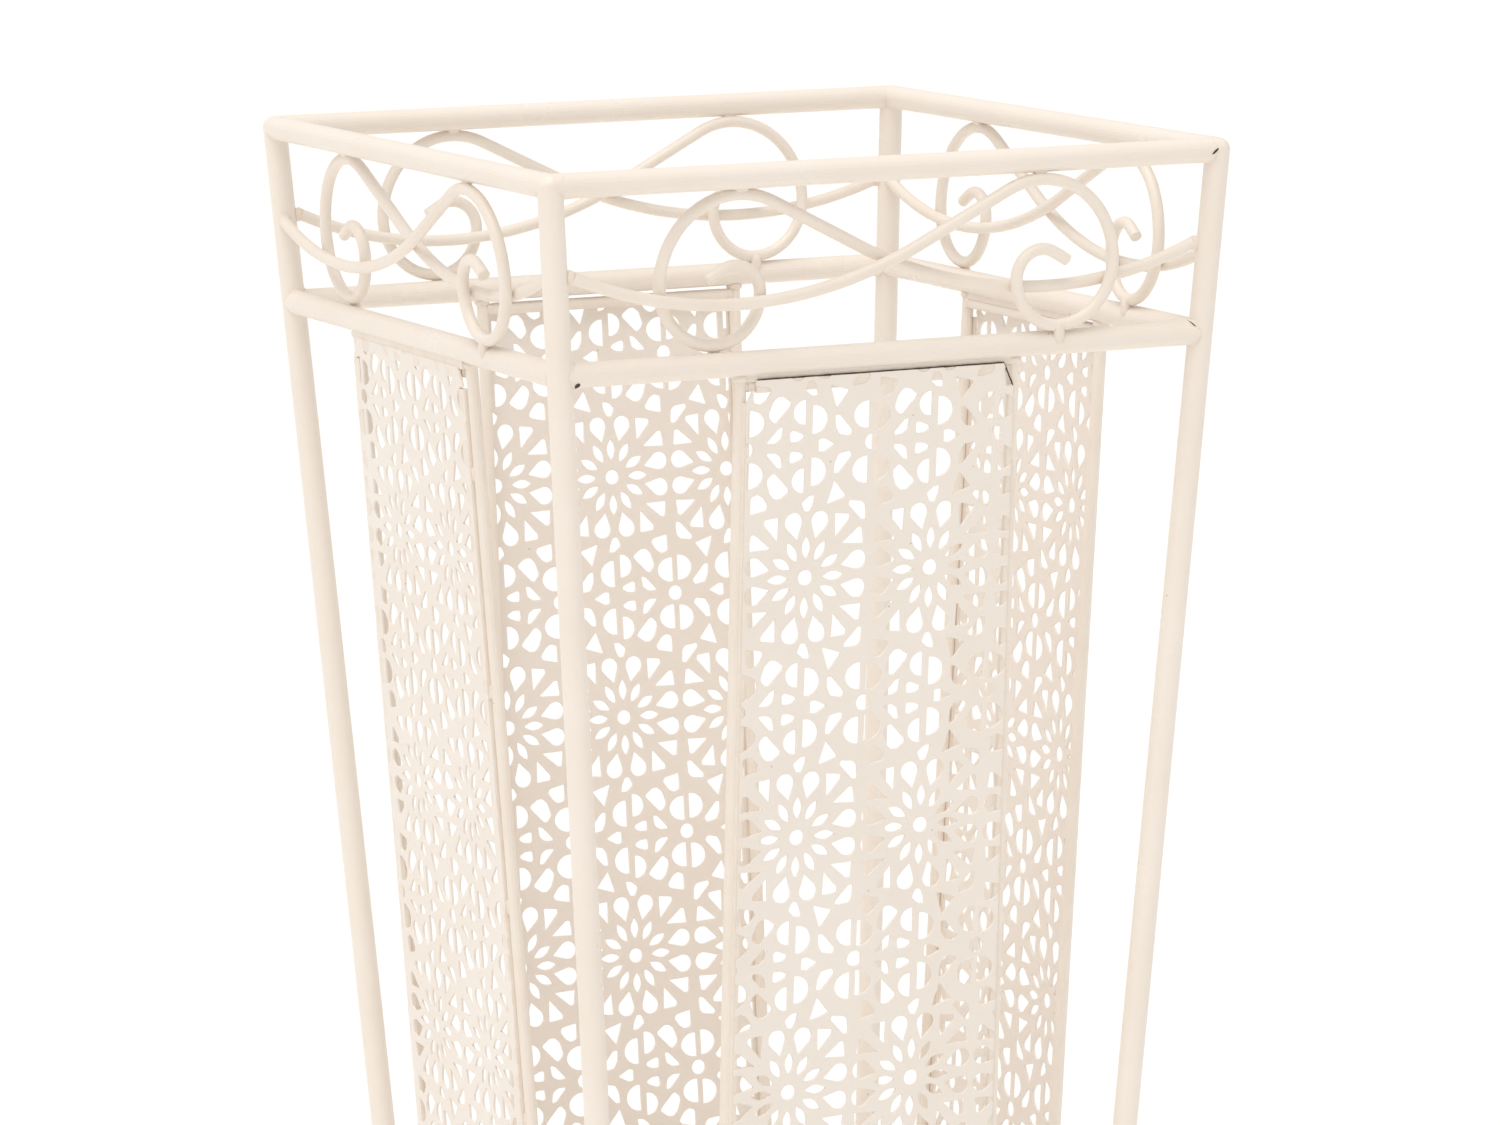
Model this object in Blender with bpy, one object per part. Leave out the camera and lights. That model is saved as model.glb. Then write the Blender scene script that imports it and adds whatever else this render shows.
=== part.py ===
"""Umbrella stand: a tapered square frame of round bar with scrolls, four sheet panels and a drip tray.

Metres, +Z up. The origin is on the floor in the middle of the four feet. The front faces -Y.
Every side is the front one turned about Z. A side has its own frame: u runs to the right as seen
from outside, v runs up the slope of the side, and n points out of the side.
"""
import math

import bmesh
import bpy
from mathutils import Matrix, Vector

# Overall sizes
HEIGHT = 0.540              # floor to the tops of the legs
TOP_WIDTH = 0.240           # over the top bars
FOOT_WIDTH = 0.168          # over the legs at the floor

# Stock
BAR_DIAMETER = 0.008        # legs and ring bars
WIRE_DIAMETER = 0.004       # scrolls and panel frames
TRAY_WIRE_DIAMETER = 0.005  # supports under the tray
SHEET_THICKNESS = 0.0008    # panels
GAP = 0.0003                # left between two pieces that touch

# Rings
LEG_CROWN = 0.001           # leg tops above the top bars
SCROLL_DROP = 0.0587        # top bars down to the second bars, axis to axis
BASE_RING_HEIGHT = 0.045    # base bars' axis above the floor

# Scroll, as a chain of tangent arcs from the leg to its curled tip: (radius, turn), + is left.
# It is scaled afterwards to the opening that it fills.
SCROLL_START_HEADING = -22.0
SCROLL_ARCS = ((0.150, 48.0), (None, 0.034), (0.027, -116.0), (0.0196, -90.0), (0.0155, -90.0),
               (0.009, -120.0), (None, 0.0055))
SCROLL_CHORD = 0.012        # longest chord on a wide arc
SCROLL_TURN = 13.0          # largest bend, in degrees, between two chords
SCROLL_REACH = 0.49         # middle of the loop's top, as a share of the half opening

# Panels
PANEL_WIDTH = 0.0953        # between the axes of a frame's side rods
PANEL_SHIFT = {"front": 0.0034, "right": -0.0013, "back": 0.0044, "left": 0.0058}  # to the left
FRAME_END_SPACE = 0.001     # between a ring bar and the frame's end rod
SHEET_INSET = 0.001         # sheet's side edge inside the side rod's axis
SHEET_END_SPACE = 0.001     # between a ring bar and the sheet's end
CORNER_CUT = (0.0035, 0.007)  # clipped corners of the sheet, across and along

# Feet
FOOT_HEIGHT = 0.014
FOOT_WALL = 0.001
FOOT_FLOOR = 0.003

# Drip tray
TRAY_CLEARANCE = 0.0025     # to the base bars all round
TRAY_DEPTH = 0.022
TRAY_WALL = 0.0012
TRAY_DRAFT = 0.003          # each wall leans out by this much
TRAY_RIM = 0.002            # lip's width outside the wall
TRAY_CORNER = 0.014
TRAY_SUPPORT_SPREAD = 0.060

BAR_SIDES = 24
WIRE_SIDES = 12
CORNER_STEPS = 6
TUBE_BEVEL = 3

SIDES = ("front", "right", "back", "left")
CORNERS = ("front_left", "front_right", "back_right", "back_left")

# Sizes that follow
BAR_RADIUS = BAR_DIAMETER / 2
WIRE_RADIUS = WIRE_DIAMETER / 2
TOP_RING_HEIGHT = HEIGHT - LEG_CROWN - BAR_RADIUS
SECOND_RING_HEIGHT = TOP_RING_HEIGHT - SCROLL_DROP
TAPER = (TOP_WIDTH - FOOT_WIDTH) / 2 / TOP_RING_HEIGHT
RINGS = {"top": TOP_RING_HEIGHT, "second": SECOND_RING_HEIGHT, "base": BASE_RING_HEIGHT}
SLOPE = math.hypot(1, TAPER)


def half_width(height):
    """Distance from the middle of the stand to the axes of the bars, or of the legs, at this height."""
    return FOOT_WIDTH / 2 - BAR_RADIUS + TAPER * height


def clear_scene():
    for thing in list(bpy.data.objects):
        bpy.data.objects.remove(thing, do_unlink=True)


def new_material(name, colour, roughness, metallic):
    material = bpy.data.materials.new(name)
    material.use_nodes = True
    shader = material.node_tree.nodes["Principled BSDF"]
    shader.inputs["Base Color"].default_value = (*colour, 1)
    shader.inputs["Roughness"].default_value = roughness
    shader.inputs["Metallic"].default_value = metallic
    material.diffuse_color = (*colour, 1)
    return material


def add_object(name, data, material, matrix=None):
    thing = bpy.data.objects.new(name, data)
    bpy.context.scene.collection.objects.link(thing)
    data.materials.append(material)
    if matrix:
        thing.matrix_world = matrix
    return thing


def finish_mesh(name, work):
    """Turns the working mesh into mesh data with outward faces and smooth round sides."""
    bmesh.ops.recalc_face_normals(work, faces=work.faces)
    mesh = bpy.data.meshes.new(name)
    work.to_mesh(mesh)
    work.free()
    mesh.shade_smooth()
    mesh.set_sharp_from_angle(angle=math.radians(35))
    return mesh


def skin_loops(name, loops):
    """Joins closed loops of points, one to the next, and closes both ends."""
    work = bmesh.new()
    rows = [[work.verts.new(point) for point in loop] for loop in loops]
    count = len(rows[0])
    for lower, upper in zip(rows, rows[1:]):
        for i in range(count):
            j = (i + 1) % count
            work.faces.new((lower[i], lower[j], upper[j], upper[i]))
    work.faces.new(rows[0][::-1])
    work.faces.new(rows[-1])
    return finish_mesh(name, work)


def cylinder_mesh(name, length, diameter, sides):
    """A round rod along +Z from the origin."""
    circle = [(math.cos(a) * diameter / 2, math.sin(a) * diameter / 2)
              for a in (math.tau * i / sides for i in range(sides))]
    return skin_loops(name, [[(x, y, z) for x, y in circle] for z in (0, length)])


def along(start, end):
    """Places a piece made along +Z so that it runs from start towards end."""
    direction = Vector(end) - Vector(start)
    return Matrix.Translation(start) @ direction.to_track_quat("Z", "Y").to_matrix().to_4x4()


def side_turn(side):
    return Matrix.Rotation(math.radians(90) * SIDES.index(side), 4, "Z")


def side_frame(side, height):
    """Frame of one side with its origin on the bars' axis plane: columns u, v and n."""
    u = Vector((1, 0, 0))
    v = Vector((0, -TAPER, 1)).normalized()
    frame = Matrix.Identity(4)
    for column, axis in enumerate((u, v, u.cross(v))):
        for row in range(3):
            frame[row][column] = axis[row]
    frame.translation = (0, -half_width(height), height)
    return side_turn(side) @ frame


def leaning_loop(corner, height, radius):
    """Level circle round a leg's axis at this height."""
    sign_x = 1 if "right" in corner else -1
    sign_y = 1 if "back" in corner else -1
    centre = half_width(height)
    return [(sign_x * centre + radius * math.cos(a), sign_y * centre + radius * math.sin(a), height)
            for a in (math.tau * (i + 0.5) / BAR_SIDES for i in range(BAR_SIDES))]


def leaning_turn(name, corner, profile):
    """Solid turned round a leg's leaning axis from (radius, height) points."""
    return skin_loops(name, [leaning_loop(corner, height, radius) for radius, height in profile])


def make_leg(corner, material):
    dome = [(BAR_RADIUS * math.cos(a), HEIGHT - LEG_CROWN + LEG_CROWN * math.sin(a))
            for a in (math.radians(d) for d in (0, 30, 60, 78))]
    mesh = leaning_turn("leg_" + corner, corner, [(BAR_RADIUS, FOOT_FLOOR + GAP)] + dome)
    return add_object("leg_" + corner, mesh, material)


def make_leg_cutter(corner, material):
    """The leg with the gap round it, which shapes the ends of the bars that meet it."""
    radius = BAR_RADIUS + GAP
    mesh = leaning_turn("cutter_" + corner, corner, [(radius, 0), (radius, HEIGHT + BAR_DIAMETER)])
    cutter = add_object("cutter_" + corner, mesh, material)
    cutter.hide_render = True
    cutter.display_type = "WIRE"
    return cutter


def make_foot(corner, material):
    inner = BAR_RADIUS + GAP
    outer = inner + FOOT_WALL
    edge = FOOT_WALL / 2
    profile = [(outer - edge, 0), (outer, edge), (outer, FOOT_HEIGHT - edge), (outer - edge, FOOT_HEIGHT),
               (inner, FOOT_HEIGHT), (inner, FOOT_FLOOR)]
    return add_object("foot_cap_" + corner, leaning_turn("foot_cap_" + corner, corner, profile), material)


def bar_mesh(name, reach):
    """Round bar along X with its ends mitred on the inner side, where the next ring bar meets it."""
    circle = [(BAR_RADIUS * math.cos(a), BAR_RADIUS * math.sin(a))
              for a in (math.tau * i / BAR_SIDES for i in range(BAR_SIDES))]
    work = bmesh.new()
    rows = [[work.verts.new((x, y, z)) for y, z in circle] for x in (-reach, reach)]
    for i in range(BAR_SIDES):
        j = (i + 1) % BAR_SIDES
        work.faces.new((rows[0][i], rows[0][j], rows[1][j], rows[1][i]))
    work.faces.new(rows[0][::-1])
    work.faces.new(rows[1])
    for sign in (-1, 1):
        normal = Vector((sign, 1, 0)).normalized()
        cut = bmesh.ops.bisect_plane(work, geom=work.verts[:] + work.edges[:] + work.faces[:],
                                     plane_co=Vector((sign * reach, 0, 0)) - normal * GAP / 2,
                                     plane_no=normal, clear_outer=True)
        edges = [item for item in cut["geom_cut"] if isinstance(item, bmesh.types.BMEdge)]
        bmesh.ops.contextual_create(work, geom=edges)
    return finish_mesh(name, work)


def make_bar(ring, side, cutters, material):
    """Ring bar from leg to leg, with its ends coped to the legs."""
    height = RINGS[ring]
    reach = half_width(height)
    name = ring + "_bar_" + side
    place = side_turn(side) @ Matrix.Translation((0, -reach, height))
    bar = add_object(name, bar_mesh(name, reach), material, place)
    first = SIDES.index(side)
    for corner in (CORNERS[first], CORNERS[(first + 1) % len(CORNERS)]):
        cope = bar.modifiers.new("cope_" + corner, "BOOLEAN")
        cope.operation = "DIFFERENCE"
        cope.solver = "EXACT"
        cope.object = cutters[corner]
    return bar


def scroll_chain():
    """Points of the scroll's centre line before scaling."""
    point = Vector((0, 0))
    heading = math.radians(SCROLL_START_HEADING)
    points = [point.copy()]
    for radius, amount in SCROLL_ARCS:
        if radius is None:
            point = point + amount * Vector((math.cos(heading), math.sin(heading)))
            points.append(point.copy())
            continue
        turn = math.radians(amount)
        steps = math.ceil(max(abs(amount) / SCROLL_TURN, abs(turn) * radius / SCROLL_CHORD))
        side = math.copysign(radius, turn)
        centre = point + side * Vector((-math.sin(heading), math.cos(heading)))
        for i in range(1, steps + 1):
            angle = heading + turn * i / steps
            points.append(centre - side * Vector((-math.sin(angle), math.cos(angle))))
        heading += turn
        point = points[-1]
    return points


def scroll_points(mirrored):
    """Centre line in a side's frame at the top bars: u from the leg, v down from the top bar's axis.

    The wire lies just outside or inside the bars' axis plane, so its loop rests against the
    rounded underside of the top bar and the top of the second one. Its first end is cut square,
    so the slant of the cut keeps it off the leg.
    """
    layer = WIRE_RADIUS + GAP / 2
    touch = math.sqrt((BAR_RADIUS + WIRE_RADIUS + GAP) ** 2 - layer ** 2)
    top = -touch
    bottom = -SCROLL_DROP * SLOPE + touch
    chain = scroll_chain()
    highest = max(chain, key=lambda point: point.y)
    lowest = min(point.y for point in chain)
    rise = (top - bottom) / (highest.y - lowest)
    leg_height = TOP_RING_HEIGHT + (top + (chain[0].y - highest.y) * rise) / SLOPE
    slant = WIRE_RADIUS * math.sin(math.radians(abs(SCROLL_START_HEADING)))
    start = half_width(leg_height) - BAR_RADIUS - slant - GAP
    run = start * (1 + SCROLL_REACH) / (highest.x - chain[0].x)
    flip = -1 if mirrored else 1
    return [(flip * (-start + (point.x - chain[0].x) * run), top + (point.y - highest.y) * rise, flip * layer)
            for point in chain]


def make_scroll(side, mirrored, material):
    """The outer scroll starts at the left leg. The inner one is its mirror image behind it."""
    name = "scroll_" + ("inner_" if mirrored else "outer_") + side
    curve = bpy.data.curves.new(name, "CURVE")
    curve.dimensions = "3D"
    curve.bevel_depth = WIRE_RADIUS
    curve.bevel_resolution = TUBE_BEVEL
    curve.use_fill_caps = True
    points = scroll_points(mirrored)
    spline = curve.splines.new("POLY")
    spline.points.add(len(points) - 1)
    for slot, point in zip(spline.points, points):
        slot.co = (*point, 1)
    spline.use_smooth = True
    return add_object(name, curve, material, side_frame(side, TOP_RING_HEIGHT))


def panel_span():
    """Ends of the space between the second and base bars, along v from the second bar's axis."""
    return -BAR_RADIUS, -(SECOND_RING_HEIGHT - BASE_RING_HEIGHT) * SLOPE + BAR_RADIUS


def panel_frame(side):
    return side_frame(side, SECOND_RING_HEIGHT) @ Matrix.Translation((-PANEL_SHIFT[side], 0, 0))


def make_rod(name, frame, start, end, diameter, material):
    first = frame @ Vector(start)
    last = frame @ Vector(end)
    mesh = cylinder_mesh(name, (last - first).length, diameter, WIRE_SIDES)
    return add_object(name, mesh, material, along(first, last))


def make_panel_frame(side, material):
    """Four rods: two uprights welded between the rings and two cross rods between the uprights."""
    frame = panel_frame(side)
    top, bottom = panel_span()
    for label, sign in (("left", -1), ("right", 1)):
        u = sign * PANEL_WIDTH / 2
        make_rod("panel_rod_" + label + "_" + side, frame, (u, bottom + GAP, 0), (u, top - GAP, 0),
                 WIRE_DIAMETER, material)
    reach = PANEL_WIDTH / 2 - WIRE_RADIUS - GAP
    inset = FRAME_END_SPACE + WIRE_RADIUS
    for label, v in (("top", top - inset), ("bottom", bottom + inset)):
        make_rod("panel_rod_" + label + "_" + side, frame, (-reach, v, 0), (reach, v, 0),
                 WIRE_DIAMETER, material)


def make_sheet(side, material):
    """Panel sheet on the outside of its frame, with clipped corners."""
    top, bottom = panel_span()
    half = PANEL_WIDTH / 2 - SHEET_INSET
    high = top - SHEET_END_SPACE
    low = bottom + SHEET_END_SPACE
    across, down = CORNER_CUT
    outline = [(half, low + down), (half, high - down), (half - across, high), (across - half, high),
               (-half, high - down), (-half, low + down), (across - half, low), (half - across, low)]
    back = WIRE_RADIUS + GAP
    name = "panel_sheet_" + side
    mesh = skin_loops(name, [[(u, v, n) for u, v in outline] for n in (back, back + SHEET_THICKNESS)])
    mesh.shade_flat()
    return add_object(name, mesh, material, panel_frame(side))


def tray_sizes():
    """Half width at the lip's edge, and the heights of the tray's underside and lip."""
    under = BASE_RING_HEIGHT + TRAY_WIRE_DIAMETER / 2 + GAP
    edge = half_width(BASE_RING_HEIGHT) - BAR_RADIUS - TRAY_CLEARANCE
    return edge, under, under + TRAY_DEPTH


def rounded_square(half, height, radius):
    loop = []
    for quarter in range(4):
        turn = math.radians(90) * quarter
        for i in range(CORNER_STEPS + 1):
            angle = turn + math.radians(90) * i / CORNER_STEPS
            x = (half - radius) * (math.cos(turn) - math.sin(turn)) + radius * math.cos(angle)
            y = (half - radius) * (math.cos(turn) + math.sin(turn)) + radius * math.sin(angle)
            loop.append((x, y, height))
    return loop


def make_tray(material):
    edge, under, lip = tray_sizes()
    wall_top = edge - TRAY_RIM
    wall_foot = wall_top - TRAY_DRAFT
    bend = 2 * TRAY_WALL
    profile = [
        (wall_foot - bend, under),
        (wall_foot, under + bend),
        (wall_top, lip - TRAY_WALL),
        (edge, lip - TRAY_WALL),
        (edge, lip),
        (wall_top - TRAY_WALL, lip),
        (wall_foot - TRAY_WALL, under + bend),
        (wall_foot - bend - TRAY_WALL / 2, under + TRAY_WALL),
    ]
    loops = [rounded_square(half, height, TRAY_CORNER - (edge - half)) for half, height in profile]
    return add_object("drip_tray", skin_loops("drip_tray", loops), material)


def make_tray_supports(material):
    reach = half_width(BASE_RING_HEIGHT) - BAR_RADIUS - GAP
    for label, sign in (("left", -1), ("right", 1)):
        x = sign * TRAY_SUPPORT_SPREAD / 2
        make_rod("tray_support_" + label, Matrix.Identity(4), (x, -reach, BASE_RING_HEIGHT),
                 (x, reach, BASE_RING_HEIGHT), TRAY_WIRE_DIAMETER, material)


def main():
    clear_scene()
    bar_paint = new_material("cream_bar", (0.80, 0.74, 0.66), 0.42, 0.0)
    wire_paint = new_material("cream_wire", (0.80, 0.73, 0.64), 0.42, 0.0)
    sheet_paint = new_material("cream_sheet", (0.78, 0.71, 0.64), 0.50, 0.0)
    tray_paint = new_material("cream_tray", (0.76, 0.70, 0.61), 0.45, 0.0)
    foot_plastic = new_material("foot_plastic", (0.78, 0.74, 0.66), 0.60, 0.0)
    cutters = {corner: make_leg_cutter(corner, bar_paint) for corner in CORNERS}
    for corner in CORNERS:
        make_leg(corner, bar_paint)
        make_foot(corner, foot_plastic)
    for side in SIDES:
        for ring in RINGS:
            make_bar(ring, side, cutters, bar_paint)
        for mirrored in (False, True):
            make_scroll(side, mirrored, wire_paint)
        make_panel_frame(side, wire_paint)
        make_sheet(side, sheet_paint)
    make_tray_supports(wire_paint)
    make_tray(tray_paint)
    bpy.context.view_layer.update()


main()
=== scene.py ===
# %% [markdown]
# # Cream umbrella stand
# A square stand for umbrellas, about 54 cm high and narrower at the floor. Round steel bar makes the
# legs and three rings, bent wire makes the scrolls under the top ring, and four pierced sheets close
# the sides. A loose drip tray sits on two rods at the bottom. All the steel has one coat of cream
# powder paint.
#
# The exact frame is already modelled, so this lesson adds what makes it look real: pierced sheets,
# smooth scrolls, welds, paint and light. Sizes are in metres, and +Z is up.

# %% Load the frame and keep its box
import math

import bpy
import numpy as np
from mathutils import Matrix, Vector, noise
from mathutils.geometry import delaunay_2d_cdt


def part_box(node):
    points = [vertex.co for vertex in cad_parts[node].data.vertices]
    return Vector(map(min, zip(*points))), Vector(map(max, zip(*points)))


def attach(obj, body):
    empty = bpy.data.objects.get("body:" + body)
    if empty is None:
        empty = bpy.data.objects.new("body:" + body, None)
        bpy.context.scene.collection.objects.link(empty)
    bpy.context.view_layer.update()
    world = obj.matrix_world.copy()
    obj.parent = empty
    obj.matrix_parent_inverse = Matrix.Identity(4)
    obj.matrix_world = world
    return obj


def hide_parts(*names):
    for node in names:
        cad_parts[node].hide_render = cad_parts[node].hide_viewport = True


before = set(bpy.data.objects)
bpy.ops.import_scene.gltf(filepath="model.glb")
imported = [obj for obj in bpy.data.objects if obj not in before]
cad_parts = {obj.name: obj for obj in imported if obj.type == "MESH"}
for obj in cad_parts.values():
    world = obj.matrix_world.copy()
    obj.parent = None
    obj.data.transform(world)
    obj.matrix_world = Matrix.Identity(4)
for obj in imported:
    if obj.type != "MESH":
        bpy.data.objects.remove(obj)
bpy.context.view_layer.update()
MM = 0.001

# %% [markdown]
# ## Measuring the frame
# Every later piece is placed from these few measures. The bars' boxes give the height and the width
# of each ring, and two rings give the lean of the sides. If the model changes, the added pieces
# follow it.

# %% Read the rings
SIDES = ("front", "right", "back", "left")
CORNERS = ("front_left", "front_right", "back_right", "back_left")


def ring_measures(ring):
    low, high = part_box(ring + "_bar_front")
    return {"height": (low.z + high.z) / 2, "half": -(low.y + high.y) / 2, "radius": (high.z - low.z) / 2}


RINGS = {ring: ring_measures(ring) for ring in ("top", "second", "base")}
BAR_RADIUS = RINGS["top"]["radius"]
TAPER = (RINGS["top"]["half"] - RINGS["base"]["half"]) / (RINGS["top"]["height"] - RINGS["base"]["height"])
SLOPE = math.hypot(1, TAPER)
print("bar diameter", round(2 * BAR_RADIUS, 4), "taper", round(TAPER, 4), "rings", RINGS)

# %% [markdown]
# ## A frame of reference for each side
# The four sides are the same side turned by a quarter turn each. So each side gets its own axes: u
# runs to the right as seen from outside, v runs up the slope and n points outwards. A piece is drawn
# once in u, v and n, and a matrix carries it to its side.

# %% Side frames
def half_width(height):
    return RINGS["base"]["half"] + TAPER * (height - RINGS["base"]["height"])


def corner_signs(corner):
    """1 at the right, else -1, and 1 at the back, else -1."""
    return 1 if "right" in corner else -1, 1 if "back" in corner else -1


def side_turn(side):
    return Matrix.Rotation(math.radians(90) * SIDES.index(side), 4, "Z")


def outwards_of(axes):
    return axes.to_3x3() @ Vector((0, 0, 1))


def side_frame(side, height):
    u = Vector((1, 0, 0))
    v = Vector((0, -TAPER, 1)).normalized()
    matrix = Matrix((u, v, u.cross(v))).transposed().to_4x4()
    matrix.translation = (0, -half_width(height), height)
    return side_turn(side) @ matrix


def panel_measures(side):
    low, high = (side_turn(side).inverted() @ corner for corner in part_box("panel_sheet_" + side))
    return (low.x + high.x) / 2, abs(high.x - low.x) / 2


PANELS = {side: panel_measures(side) for side in SIDES}


def panel_axes(side):
    """A side's axes with their origin over the panel's middle, at the second ring."""
    return side_frame(side, RINGS["second"]["height"]) @ Matrix.Translation((PANELS[side][0], 0, 0))


print("panel centre and half width by side:", {s: (round(c, 4), round(h, 4)) for s, (c, h) in PANELS.items()})

# %% [markdown]
# ## Camera
# The camera stands about two metres away, above the rim and to the left, and looks down a little. A
# long lens keeps the legs nearly parallel.

# %% Place the camera
CAMERA_PLACE = (-0.8585, -1.8289, 0.7210)
CAMERA_YAW, CAMERA_DIP, CAMERA_ROLL = 0.4409, 0.1604, -0.0096
LENS_LENGTH = 148.25         # millimetres
lens = bpy.data.cameras.new("camera")
lens.sensor_width = 36.0
lens.lens = LENS_LENGTH
lens.clip_start, lens.clip_end = 0.05, 60.0
camera = bpy.data.objects.new("camera", lens)
camera.matrix_world = (Matrix.Translation(CAMERA_PLACE) @ Matrix.Rotation(-CAMERA_YAW, 4, "Z")
                       @ Matrix.Rotation(math.pi / 2 - CAMERA_DIP, 4, "X") @ Matrix.Rotation(CAMERA_ROLL, 4, "Z"))
bpy.context.scene.collection.objects.link(camera)
bpy.context.scene.camera = camera
print("camera", round((camera.location - Vector((0, 0, 0.4))).length, 3), "m from the stand")

# %% [markdown]
# ## Colours and nodes
# Paint colours are written as the hex values of a colour chart. The renderer works in linear light,
# so one function turns a hex value to linear. A second small function adds a shader node, sets its
# values and links its inputs, which keeps every material readable as a list of steps. The others
# repeat what every material here needs: a start, a noise, a mix of two colours and a bump.

# %% Material helpers
def linear(hex_colour):
    channels = [int(hex_colour[i:i + 2], 16) / 255 for i in (1, 3, 5)]
    return tuple(c / 12.92 if c <= 0.04045 else ((c + 0.055) / 1.055) ** 2.4 for c in channels) + (1.0,)


def add_node(tree, kind, settings=None, values=None, links=None):
    """Adds a node. settings are its attributes, values its inputs' numbers, links its inputs' sources."""
    node = tree.nodes.new(kind)
    for key, value in (settings or {}).items():
        setattr(node, key, value)
    for key, value in (values or {}).items():
        node.inputs[key].default_value = value
    for key, source in (links or {}).items():
        tree.links.new(source, node.inputs[key])
    return node


def start_material(name, **numbers):
    """Makes a material. Returns it, its tree, its shader and the place on the piece."""
    material = bpy.data.materials.new(name)
    material.use_nodes = True
    tree = material.node_tree
    shader = tree.nodes["Principled BSDF"]
    for key, value in numbers.items():
        shader.inputs[key.replace("_", " ")].default_value = value
    return material, tree, shader, add_node(tree, "ShaderNodeTexCoord").outputs["Object"]


def add_noise(tree, place, size_mm, **numbers):
    return add_node(tree, "ShaderNodeTexNoise", values={"Scale": 1 / (size_mm * MM), **numbers},
                    links={"Vector": place}).outputs["Fac"]


def mix_colours(tree, shader, first, second, factor):
    mix = add_node(tree, "ShaderNodeMix", {"data_type": "RGBA"}, {"A": linear(first), "B": linear(second)},
                   {"Factor": factor})
    tree.links.new(mix.outputs["Result"], shader.inputs["Base Color"])


def add_bump(tree, shader, height, strength, height_mm):
    bump = add_node(tree, "ShaderNodeBump", values={"Strength": strength, "Distance": height_mm * MM},
                    links={"Height": height})
    tree.links.new(bump.outputs["Normal"], shader.inputs["Normal"])


print("cream in linear light:", [round(c, 3) for c in linear("#F2E7DB")])

# %% [markdown]
# ## Paint: cream polyester powder coat
# The steel is dusted with dry polyester powder and baked. The powder melts to a tough film about
# 0.08 mm thick, which flows but never quite levels: it keeps a fine orange peel, about 1 to 2 mm from
# wave to wave. Real waves are about 0.01 mm high; these are 0.03 to 0.07 mm, so that they show. The
# film is a plastic, so it isn't metallic and has an IOR near 1.5.
# Semi-gloss powder has a roughness near 0.4. Where the film is thin, on wire and at cut edges, it
# looks a little darker and warmer, so two creams are mixed by a slow noise.
#
# The same recipe serves five kinds of piece, and only its numbers change: how coarse the peel is and
# how patchy the film is. A few specks of grit and dust are baked into the film as well, each about
# half a millimetre across and about a centimetre from the next.

# %% Powder coat
GRIT_SPACING_MM = 11
THIN_BELOW, FULL_ABOVE = 0.25, 0.70      # of the patch noise


def powder_coat(name, full_film, thin_film, roughness, peel_mm, peel_height_mm, patch_mm):
    material, tree, shader, place = start_material(name, Metallic=0.0, IOR=1.5)
    patches = add_noise(tree, place, patch_mm, Detail=4.0, Roughness=0.6)
    film = add_node(tree, "ShaderNodeValToRGB", links={"Fac": patches})
    film.color_ramp.elements[0].position = THIN_BELOW
    film.color_ramp.elements[0].color = linear(thin_film)
    film.color_ramp.elements[1].position = FULL_ABOVE
    film.color_ramp.elements[1].color = linear(full_film)
    grit = add_node(tree, "ShaderNodeTexVoronoi", values={"Scale": 1 / (GRIT_SPACING_MM * MM), "Randomness": 1.0},
                    links={"Vector": place})
    speck = add_node(tree, "ShaderNodeMapRange",
                     values={"From Min": 0.012, "From Max": 0.030, "To Min": 1.0, "To Max": 0.0},
                     links={"Value": grit.outputs["Distance"]})
    colour = add_node(tree, "ShaderNodeMix", {"data_type": "RGBA"}, {"B": linear("#B9A48C")},
                      {"Factor": speck.outputs["Result"], "A": film.outputs["Color"]})
    tree.links.new(colour.outputs["Result"], shader.inputs["Base Color"])
    sheen = add_node(tree, "ShaderNodeMapRange",
                     values={"From Min": 0.3, "From Max": 0.7,
                             "To Min": roughness + 0.07, "To Max": roughness - 0.06},
                     links={"Value": patches})
    tree.links.new(sheen.outputs["Result"], shader.inputs["Roughness"])
    add_bump(tree, shader, add_noise(tree, place, peel_mm, Detail=2.0, Roughness=0.45), 1.0, peel_height_mm)
    return material


bar_coat = powder_coat("powder_coat_on_bar", "#F5ECE2", "#F2E7DC", 0.32, 1.6, 0.05, 45)
wire_coat = powder_coat("powder_coat_on_wire", "#F4EBE0", "#F0E4D8", 0.34, 1.2, 0.045, 25)
sheet_coat = powder_coat("powder_coat_on_sheet", "#F4ECE4", "#F1E7DD", 0.40, 1.4, 0.03, 50)
weld_coat = powder_coat("powder_coat_on_weld", "#F3E9DE", "#ECDFD1", 0.38, 0.8, 0.07, 6)
tray_coat = powder_coat("powder_coat_on_tray", "#F3E9DD", "#EFE2D4", 0.36, 1.6, 0.04, 40)
print("powder coats:", [m.name for m in bpy.data.materials if m.name.startswith("powder_coat")])

# %% [markdown]
# ## Moulded feet
# The feet are small caps of soft polyethylene, injection moulded and pushed onto the legs. Such a cap
# has a fine spark-eroded grain from its mould, about half a millimetre from grain to grain here so
# that it shows, and a waxy, matte look: IOR 1.5, roughness near 0.6. Dirt from the floor greys its
# lowest edge.

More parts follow.
